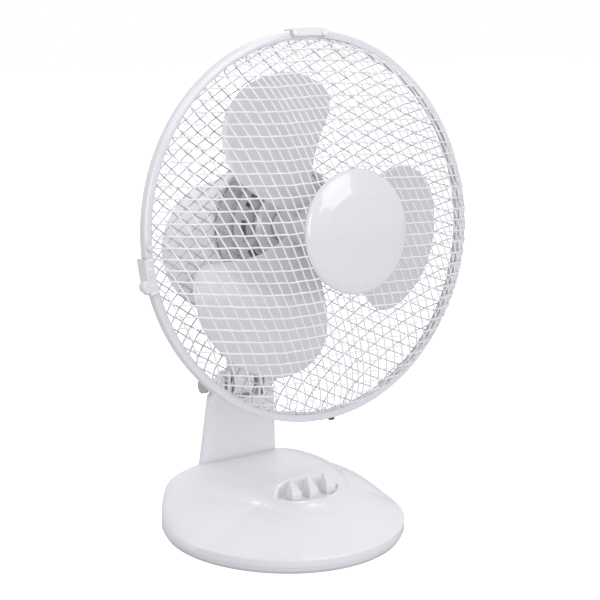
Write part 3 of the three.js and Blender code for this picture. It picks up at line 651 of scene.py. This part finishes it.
def make_bracket(material):
    """A knuckle on the tilt bolt, an arm that widens upwards, and the disc under the casing."""
    hinge, swivel = joint_in_head("tilt"), joint_in_head("oscillate")
    knuckle = lathed([(0.01, -KNUCKLE_HALF_W), (KNUCKLE_R, -KNUCKLE_HALF_W),
                      (KNUCKLE_R, KNUCKLE_HALF_W), (0.01, KNUCKLE_HALF_W)], [0, 1, 1, 0], 5, 64)
    along_bolt = (HEAD @ Matrix.Translation((0, hinge.y * MM, hinge.z * MM))
                  @ Matrix.Rotation(math.pi / 2, 4, "Y"))
    piece = finish_mesh("tilt_arm", *knuckle, along_bolt, material)
    arm = []
    for i in range(ARM_ROWS):
        t = i / (ARM_ROWS - 1)
        y = hinge.y + (DISC_TOP - 3 - hinge.y) * t
        z = hinge.z + (swivel.z - hinge.z) * t
        wide = 8 + 8 * smooth_step(t, 0.35, 1)
        deep = 9 + 7 * smooth_step(t, 0.2, 1)
        for k in range(ARM_POINTS):
            a = 2 * math.pi * k / ARM_POINTS
            c, s = math.cos(a), math.sin(a)
            arm.append((wide * abs(c) ** 0.5 * np.sign(c), y,
                        z + deep * abs(s) ** 0.5 * np.sign(s)))
    ends = [tuple(range(ARM_POINTS)),
            tuple((ARM_ROWS - 1) * ARM_POINTS + k for k in range(ARM_POINTS - 1, -1, -1))]
    boolean(piece, "UNION", arm, bands(ARM_ROWS, ARM_POINTS) + ends, HEAD)
    disc = lathed([(0.01, DISC_TOP - 5), (DISC_R, DISC_TOP - 5), (DISC_R, DISC_TOP),
                   (0.01, DISC_TOP)], [0, 2, 1, 0], 5)
    boolean(piece, "UNION", *disc, upright_in_head(0, swivel.z))
    smooth_again(piece, 40)
    place(piece, "tilt_bracket", "shell_white", "tilt_bracket")


# ---------- motor casing ----------
CASING = [  # radius, height behind the ring plane
    (49.2, -45), (50.5, -52), (50.5, -74), (52, -92), (52, -108), (46, -118.5), (30, -123.5),
    (0.01, -124.5),
]
CASING_LIP = [(45.6, -50), (45.4, -45.6), (45.9, -44.4), (47.2, -43.7), (48.3, -43.9)]
CASING_STRETCH = 1.12  # the casing is wider than it is high
CASING_WALL = 2.2
CASING_DROP = 19.5  # how far its rear end hangs below the blade's axis
SWIVEL_HOLE_R = 24
KNOB_HOLE_R = 4
FRONT_PLATE_R = 45
VENTS = 8
VENT_HALF_DEG = 12
VENT_RADII = (25.5, 31.5)


def dropped(points):
    """The casing's points, stretched sideways and lowered more and more towards the rear."""
    return [(x * CASING_STRETCH, y - CASING_DROP * smooth_step(-z, 44, 100), z)
            for x, y, z in points]


def curve_through(points, steps=6):
    """A smooth curve through points."""
    points = [Vector(p) for p in points]
    out = []
    for i in range(len(points) - 1):
        near = (i - 1, i, i + 1, i + 2)
        before, a, b, after = (points[min(max(k, 0), len(points) - 1)] for k in near)
        for k in range(steps):
            t = k / steps
            out.append(0.5 * ((2 * a) + (b - before) * t
                              + (2 * before - 5 * a + 4 * b - after) * t * t
                              + (3 * a - before - 3 * b + after) * t ** 3))
    out.append(points[-1])
    return out


def make_casing(material):
    profile = [Vector(p) for p in CASING_LIP] + curve_through(CASING)
    vertices, faces = turned([(max(r, 0.01), z) for r, z in profile], 128)
    piece = finish_mesh("motor_casing", dropped(vertices), faces, HEAD, material, sharp=50)
    solid = piece.modifiers.new("wall", "SOLIDIFY")
    solid.thickness = CASING_WALL * MM
    solid.offset = -1
    apply_modifiers(piece)
    swivel_hole = turned(
        [(0.01, -100), (SWIVEL_HOLE_R, -100), (SWIVEL_HOLE_R, -50), (0.01, -50)], 64)
    boolean(piece, "DIFFERENCE", *swivel_hole, upright_in_head(0, joint_in_head("oscillate").z))
    knob_hole = turned([(0.01, 0), (KNOB_HOLE_R, 0), (KNOB_HOLE_R, 60), (0.01, 60)], 40)
    boolean(piece, "DIFFERENCE", *knob_hole, upright_in_head(*knob_place()))
    smooth_again(piece, 50)
    place(piece, "head", "shell_white", "housing_rear")


def make_casing_front(material):
    """The casing's front plate with a ring of vents round a boss."""
    vertices, faces = lathed(
        [(8.4, -46.4), (FRONT_PLATE_R, -46.4), (FRONT_PLATE_R, -44.9), (11, -44.9), (11, -28),
         (8.4, -28)],
        [0, 0.5, 0.5, 1, 0.6, 0], 4, closed=True)
    vertices = [(x * CASING_STRETCH if math.hypot(x, y) > 40 else x, y, z) for x, y, z in vertices]
    piece = finish_mesh("motor_front", vertices, faces, HEAD, material, sharp=40)
    vents = []
    for i in range(VENTS):
        middle = 45 * i
        vents.append(arc_bar(*VENT_RADII, middle - VENT_HALF_DEG, middle + VENT_HALF_DEG, -50, -43))
    boolean(piece, "DIFFERENCE", *gather(vents), HEAD)
    smooth_again(piece, 40)
    place(piece, "head", "shell_white", "housing_front")


def make_guard_nut(material):
    nut = lathed([(11.6, -38.2), (22.8, -38.2), (23.4, -35), (20, -33.6), (15, -33.2),
                  (11.6, -33.6)], [0, 0.6, 1.2, 1, 1, 0], 4, closed=True)
    piece = finish_mesh("guard_clamp_nut", *nut, HEAD, material, sharp=50)
    place(piece, "head", "shell_white", "guard_nut")


def knob_place():
    """Where the knob stands on the casing, across and along the head."""
    low, high = seen_in_head("oscillation_knob")
    return (low[0] + high[0]) / 2, (low[2] + high[2]) / 2


def fluted(vertices, least_r, low, high, depth, count):
    """Shallow flutes pressed into the part of a turned shape between two heights."""
    out = []
    for x, y, z in vertices:
        if math.hypot(x, y) > least_r and low < z < high:
            k = 1 - depth * (0.5 + 0.5 * math.cos(count * math.atan2(y, x)))
            x, y = x * k, y * k
        out.append((x, y, z))
    return out


def make_knob(material):
    top = seen_in_head("oscillation_knob")[1][1]
    vertices, faces = lathed(
        [(0.01, 9), (3, 9), (3, top - 14), (6.6, top - 14), (7.5, top - 11), (7.0, top - 1.5),
         (5.6, top), (0.01, top)],
        [0, 0.3, 0.5, 0.8, 1.5, 1.2, 1.5, 0])
    piece = finish_mesh("clutch_knob", fluted(vertices, 5, top - 13, top - 2, 0.035, 24), faces,
                        upright_in_head(*knob_place()), material, sharp=50)
    place(piece, "oscillation_knob", "shell_white", "oscillation_knob")


# ---------- guards ----------
RING_R = 134.5
LIP_R = 129.2
RING_FRONT = 6
RING_REAR = -0.8
RIM_R = 129
FRONT_RIM_Z = 3.6
REAR_RIM_Z = 1.4
MESH_PITCH = 7.8
REAR_PITCH = 8
REAR_LEAN_DEG = 30
WIRE_R = 0.58
REAR_WIRE_R = 0.55
WIRE_SIDES = 6
WIRE_LIFT = 0.4  # crossing wires lie this far to each side of the mesh's middle
WIRE_KINK = 0.15
FRONT_INNER_R = 40.5  # the wires end at the centre ring
REAR_INNER_R = 37
RIM_WIRE_R = 0.9
DOME = [  # radius, height of the front mesh above the ring plane
    (42, 50.0), (55, 48.4), (70, 45.4), (85, 41.2), (98, 36.4), (108, 31.4), (115, 27.0),
    (120, 22.6), (124, 17.2), (127, 10.8), (RIM_R, FRONT_RIM_Z),
]
REAR_DOME = [  # radius, depth of the rear mesh below the ring plane
    (42, 41.7), (55, 40.0), (70, 36.9), (85, 32.4), (98, 26.9), (108, 21.2), (116, 15.5),
    (122, 10.2), (126, 5.2), (RIM_R, -REAR_RIM_Z),
]
REAR_HUB_DEPTH = 41.2


def front_depth(r):
    radii, depths = zip(*DOME)
    if r < radii[0]:
        return depths[0] + (radii[0] - r) * 0.05
    return float(np.interp(r, radii, depths))


def rear_depth(r):
    radii, depths = zip(*REAR_DOME)
    return REAR_HUB_DEPTH if r < radii[0] else float(np.interp(r, radii, depths))


def wire(path, radius):
    """A closed round bar along a path of points."""
    points = [Vector(p) for p in path]
    vertices, across = [], None
    for i, p in enumerate(points):
        along = (points[min(i + 1, len(points) - 1)] - points[max(i - 1, 0)]).normalized()
        if across is None:
            across = along.orthogonal().normalized()
        across = (across - along * across.dot(along)).normalized()
        other = along.cross(across)
        for k in range(WIRE_SIDES):
            a = 2 * math.pi * k / WIRE_SIDES
            vertices.append(p + across * (radius * math.cos(a)) + other * (radius * math.sin(a)))
    return vertices, capped(len(points), WIRE_SIDES)


def gather(parts):
    vertices, faces = [], []
    for v, f in parts:
        start = len(vertices)
        vertices.extend(v)
        faces.extend(tuple(i + start for i in face) for face in f)
    return vertices, faces


def mesh_wires(lines, depth, inner, radius, lift, side=1):
    """Wires along lines of (x, y) points, laid on a dome between an inner radius and the rim."""
    parts = []
    for line in lines:
        runs = [[]]
        for x, y in line:
            r = math.hypot(x, y)
            if inner < r < RIM_R:
                runs[-1].append((x, y, side * (depth(r) + lift)))
            elif runs[-1]:
                runs.append([])
        parts.extend(wire(run, radius) for run in runs if len(run) > 1)
    return parts


def straight(angle, offset, pitch):
    """Points along a line across the ring, at an angle and an offset, kinked at each crossing."""
    c, s = math.cos(angle), math.sin(angle)
    points = []
    for t in np.arange(-132, 132.1, pitch / 4):
        o = offset + WIRE_KINK * math.sin(2 * math.pi * t / (2 * pitch))
        points.append((t * c - o * s, t * s + o * c))
    return points


def level_row(offset):
    """One of the level wires: bows up in the lower left and steps up right of the middle."""
    return [(x, y + 3 * smooth_step(-x, 55, 125) * smooth_step(-y, -10, 40)
             + 4 * smooth_step(x, -60, 0))
            for x, y in straight(math.radians(-3), offset, MESH_PITCH)]


def steep(index):
    """One of the steep wires: closer together left of the middle, leaning more at each side."""
    offset = 7.2 * index - 6 * math.tanh((index + 3) / 4)
    side = (offset + 20) / 70
    lean = math.radians(19 + (10 * min(side, 1) if side > 0 else 6 * min(-side, 1)))
    points = []
    for t in np.arange(-150, 150.1, MESH_PITCH / 4):
        kink = 0.12 * math.sin(math.pi * t / MESH_PITCH)
        points.append((offset + t * math.sin(lean) + kink, -t * math.cos(lean)))
    return points


def make_front_guard(material):
    rows = [level_row(k * MESH_PITCH) for k in range(-17, 18)]
    columns = [steep(k) for k in range(-34, 35)]
    parts = mesh_wires(rows, front_depth, FRONT_INNER_R, WIRE_R, WIRE_LIFT)
    parts += mesh_wires(columns, front_depth, FRONT_INNER_R, WIRE_R, -WIRE_LIFT)
    parts.append(round_ring(RIM_R, FRONT_RIM_Z, RIM_WIRE_R, RIM_WIRE_R, 128))
    parts.append(round_ring(40.6, 49.6, 1.0, 0.6, 96))
    piece = finish_mesh("front_mesh", *gather(parts), HEAD, material, sharp=60)
    place(piece, "head", "wire_white", "front_guard")


def make_rear_guard(material):
    """The rear mesh, its centre plate, and the six spokes that carry the collar on the motor."""
    lean = math.radians(REAR_LEAN_DEG)
    rows = [straight(lean, k * REAR_PITCH, REAR_PITCH) for k in range(-16, 17)]
    columns = [straight(-lean, k * REAR_PITCH, REAR_PITCH) for k in range(-16, 17)]
    parts = mesh_wires(rows, rear_depth, REAR_INNER_R, REAR_WIRE_R, WIRE_LIFT, -1)
    parts += mesh_wires(columns, rear_depth, REAR_INNER_R, REAR_WIRE_R, -WIRE_LIFT, -1)
    parts.append(round_ring(RIM_R, REAR_RIM_Z, RIM_WIRE_R, RIM_WIRE_R, 128))
    parts.append(lathed([(33, -41.4), (38.6, -41.4), (38.6, -39.6), (33, -39.6)],
                        [0, 0.5, 0.5, 0], 4, closed=True))
    spoke, faces = block(11.8, 33.5, -2.2, 2.2, -41.2, -39.8)
    parts.extend((about_z(spoke, 60 * i + 20), faces) for i in range(6))
    parts.append(lathed([(11.6, -41.4), (15.5, -41.4), (15.5, -39.4), (11.6, -39.4)],
                        [0, 0.4, 0.4, 0], 4, closed=True))
    piece = finish_mesh("rear_mesh", *gather(parts), HEAD, material, sharp=50)
    place(piece, "head", "wire_white", "rear_guard")


def make_ring(material):
    """The plastic band: a channel that grips both rims, with a nub beside the latch."""
    wall_r, front_lip, rear_lip = RING_R - 3.3, RING_FRONT - 1.2, RING_REAR + 1.2
    outline = [(LIP_R, RING_REAR), (RING_R - 0.2, RING_REAR), (RING_R, 0.4), (RING_R, RING_FRONT),
               (LIP_R, RING_FRONT), (LIP_R, front_lip), (wall_r, front_lip), (wall_r, rear_lip),
               (LIP_R, rear_lip), (LIP_R, RING_REAR)]
    profile = rounded(outline, [0, 0.6, 0.4, 1.9, 1.2, 0.4, 0.4, 0.4, 0.4, 0])[:-1]
    piece = finish_mesh("guard_band", *turned(profile, 220, closed=True), HEAD, material, sharp=50)
    nub = post(2.1, RING_FRONT - 1, RING_FRONT + 2.4, -(RING_R - 3), -0.5, 1.4)
    boolean(piece, "UNION", *nub, HEAD)
    smooth_again(piece, 50)
    place(piece, "head", "shell_white", "guard_ring")


def arc_bar(r0, r1, start, end, z0, z1, steps=16):
    """A rectangular bar bent about Z, from one angle to another in degrees."""
    vertices = []
    for i in range(steps + 1):
        a = math.radians(start + (end - start) * i / steps)
        for r, z in ((r0, z0), (r1, z0), (r1, z1), (r0, z1)):
            vertices.append((r * math.cos(a), r * math.sin(a), z))
    return vertices, capped(steps + 1, 4)


def post(radius, z0, z1, cx, cy, edge):
    """A round peg along Z with its ends' edges rounded."""
    vertices, faces = lathed([(0.01, z0), (radius, z0), (radius, z1), (0.01, z1)],
                             [0, edge, edge, 0], 4, 40)
    return [(x + cx, y + cy, z) for x, y, z in vertices], faces


CLIP_GAP = 0.3  # between the band and what clips over it
LATCH_DEG = 188.2
LATCH_HALF_DEG = 5


def make_latch(material):
    r, front = RING_R + CLIP_GAP, RING_FRONT + CLIP_GAP
    start, end = LATCH_DEG - LATCH_HALF_DEG, LATCH_DEG + LATCH_HALF_DEG
    strap = arc_bar(r, r + 1.6, start, end, -3, front + 1.2)
    piece = finish_mesh("side_latch", *strap, HEAD, material, sharp=40)
    boolean(piece, "UNION", *arc_bar(RING_R - 4.6, r + 1.6, start, end, front, front + 1.2), HEAD)
    a = math.radians(LATCH_DEG + 2.5)
    tab = post(4.6, 0.6, front + 1.2, (r + 1.2) * math.cos(a), (r + 1.2) * math.sin(a), 1.2)
    boolean(piece, "UNION", *tab, HEAD)
    band = turned([(0.01, -8), (r, -8), (r, front), (0.01, front)], 220)
    boolean(piece, "DIFFERENCE", *band, HEAD)
    add_bevel(piece, 0.5)
    place(piece, "guard_latch", "shell_white", "guard_latch")


def make_top_clip(material):
    r, front = RING_R + CLIP_GAP, RING_FRONT + CLIP_GAP
    strap = arc_bar(r, r + 1, 84, 96, -3, front + 0.5)
    piece = finish_mesh("top_hook", *strap, HEAD, material, sharp=40)
    boolean(piece, "UNION", *arc_bar(RING_R - 4, r + 1, 84, 96, front, front + 1.2), HEAD)
    for degrees in (84.8, 95.2):
        a = math.radians(degrees)
        x, y = (RING_R - 2) * math.cos(a), (RING_R - 2) * math.sin(a)
        nub = post(2.2, front + 0.2, front + 3, x, y, 1.2)
        boolean(piece, "UNION", *nub, HEAD)
    add_bevel(piece, 0.4)
    place(piece, "head", "shell_white", "top_clip")


def make_cap(material):
    cap = lathed([(0.01, 55.9), (14, 55.75), (26, 55.1), (35, 53.9), (40.2, 52.4), (42, 50.9),
                  (41.6, 50.0), (38, 50.0), (36, 51.6), (0.01, 53.4)],
                 [0, 30, 30, 20, 4, 1.2, 0.4, 0.6, 3, 0], 8, 160)
    piece = finish_mesh("centre_cap", *cap, HEAD, material, sharp=60)
    place(piece, "head", "shell_white", "front_cap")


# ---------- blade ----------
HUB_R = 17
BLADE_FIRST_DEG = 99.6
BLADE_SET_BACK = 2.8
HUB_PITCH = 0.327  # slope across a petal at the hub, and at the tip
TIP_PITCH = 0.08
PETAL_ROWS = 60
PETAL_COLUMNS = 40
PETAL = [  # radius, trailing edge, leading edge (across the petal)
    (12, -8, 12), (18, -8.5, 22), (28, -10, 37), (40, -14, 51.5), (55, -23, 61.5), (70, -35.5, 63),
    (80, -40, 60.5), (90, -37, 55), (97, -29.5, 47), (103, -19.5, 37), (106.5, -11, 27.5),
    (108.6, -2, 17), (109, 3, 12),
]
ROOT_R = PETAL[0][0]
TIP_R = PETAL[-1][0]


def petal_grid():
    """The petal's outer and inner faces as a grid from hub to tip; thin at its edges."""
    trailing = curve_through([(p[0], p[1], 0) for p in PETAL], 10)
    leading = curve_through([(p[0], p[2], 0) for p in PETAL], 10)
    top, under = [], []
    for i in range(PETAL_ROWS + 1):
        r = 12.5 + (TIP_R - 12.5) * (1 - (1 - i / PETAL_ROWS) ** 1.9)
        low = float(np.interp(r, [p.x for p in trailing], [p.y for p in trailing]))
        high = float(np.interp(r, [p.x for p in leading], [p.y for p in leading]))
        share = (r - ROOT_R) / (TIP_R - ROOT_R)
        for k in range(PETAL_COLUMNS + 1):
            w = low + (high - low) * k / PETAL_COLUMNS
            z = w * (HUB_PITCH + (TIP_PITCH - HUB_PITCH) * share) - BLADE_SET_BACK
            inward = min(k, PETAL_COLUMNS - k) / PETAL_COLUMNS * (high - low)
            thick = 0.25 + 0.75 * min(1, min(inward, 109.4 - r) / 2) ** 0.5
            top.append((r, w, z + thick))
            under.append((r, w, z - thick))
    return top, under


def make_blade(material):
    top, under = petal_grid()
    width, offset = PETAL_COLUMNS + 1, len(top)
    faces = []
    for i in range(PETAL_ROWS):
        for k in range(PETAL_COLUMNS):
            a = i * width + k
            faces.append((a, a + width, a + width + 1, a + 1))
            faces.append((offset + a, offset + a + 1, offset + a + width + 1, offset + a + width))
    for i in range(PETAL_ROWS):
        for k in (0, PETAL_COLUMNS):
            a, b = i * width + k, (i + 1) * width + k
            faces.append((a, b, offset + b, offset + a))
    for k in range(PETAL_COLUMNS):
        for i in (0, PETAL_ROWS):
            a = i * width + k
            faces.append((a, a + 1, offset + a + 1, offset + a))
    turns = [BLADE_FIRST_DEG - 120 * i for i in range(3)]
    vertices, petals = gather([(about_z(top + under, turn), faces) for turn in turns])
    piece = finish_mesh("blade", vertices, petals, HEAD, material, sharp=60)
    hub = lathed([(0.01, -22), (HUB_R - 1.5, -22), (HUB_R, -19), (HUB_R, 13), (HUB_R - 3, 18),
                  (0.01, 18)], [0, 1, 1.5, 4, 2, 0])
    boolean(piece, "UNION", *hub, HEAD)
    smooth_again(piece, 50)
    place(piece, "rotor", "blade_white", "fan_blade")


def make_spinner(material):
    vertices, faces = lathed([(3.3, 18.4), (12, 18.4), (12, 24), (9, 32), (0.01, 35)],
                             [0, 0.6, 2, 3, 0], segments=72)
    vertices = fluted(vertices, 8, 19, 27, 0.05, 12)
    piece = finish_mesh("spinner", vertices, faces, HEAD, material, sharp=50)
    place(piece, "rotor", "blade_white", "spinner_nut")


# ---------- the carried-over CAD pieces ----------
def paint_frame_nodes(materials):
    slots = {s["node"]: s["material_slot"] for s in frame["record"]["subparts"]}
    for name, node in frame["nodes"].items():
        material = materials["screw_dark" if name == "guard_screw" else slots[name]]
        node.data.materials.clear()
        node.data.materials.append(material)


def build():
    make_camera()
    make_studio()
    materials = make_materials()
    paint_frame_nodes(materials)
    shell, ring, blade = (materials[name] for name in ("shell_white", "ring_white", "blade_white"))
    make_base_shell(shell)
    make_base_tray(shell)
    for index in range(3):
        make_button(index, shell)
    make_neck(shell)
    make_bracket(shell)
    make_casing(shell)
    make_casing_front(shell)
    make_guard_nut(shell)
    make_knob(shell)
    # the rear mesh gets the darker wire colour: painted shade
    make_rear_guard(materials["wire_white_shaded"])
    make_front_guard(materials["wire_white"])
    make_ring(ring)
    make_latch(ring)
    make_top_clip(shell)
    make_cap(ring)
    make_blade(blade)
    make_spinner(blade)


build()
